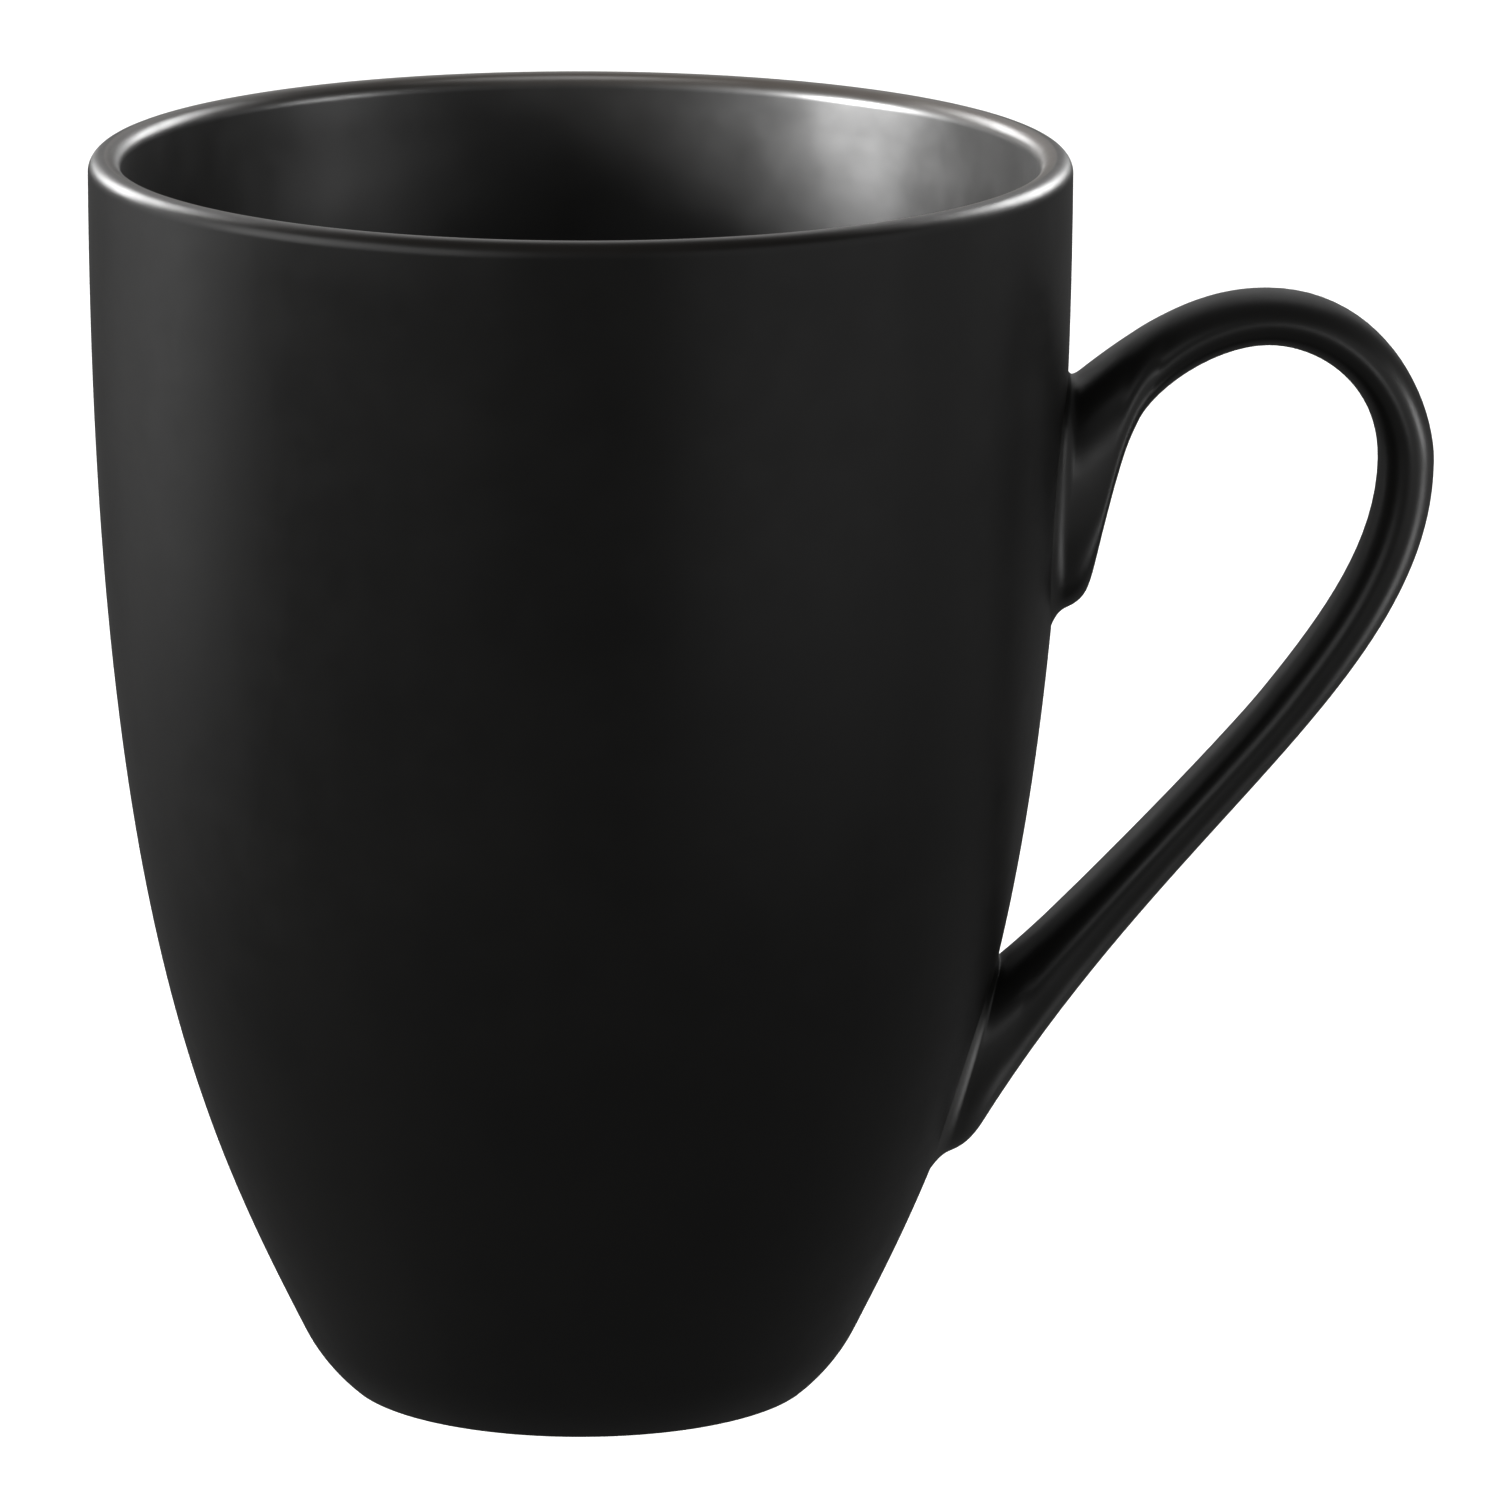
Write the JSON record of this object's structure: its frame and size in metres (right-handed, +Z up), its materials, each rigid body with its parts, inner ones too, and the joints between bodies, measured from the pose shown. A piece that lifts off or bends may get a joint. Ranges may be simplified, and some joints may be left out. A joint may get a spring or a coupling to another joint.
{
  "type": "coffee mug",
  "caption": "Tall glazed stoneware mug with a rounded taper to a low foot ring and a slender looped handle.",
  "frame": {"origin": "centre of the foot ring, on the surface that the mug stands on", "axes": "+Z up along the vessel's axis to the rim, +X towards the handle, +Y away from the viewer when the handle points to the viewer's right"},
  "size_m": [0.1152, 0.084, 0.108],
  "materials": {
    "bare_clay": "unglazed stoneware, fine and matte, seen on the foot ring",
    "slip": "fired joining slip, under the glaze",
    "matte_glaze": "matte black glaze with a soft sheen",
    "satin_glaze": "satin black liner glaze with soft highlights"
  },
  "bodies": {
    "root": {"vessel": "bare_clay", "handle": "bare_clay", "upper_slip_joint": "slip", "lower_slip_joint": "slip", "outer_glaze": "matte_glaze", "handle_glaze": "matte_glaze", "liner_glaze": "satin_glaze", "base_glaze": "matte_glaze"}
  },
  "joints": []
}
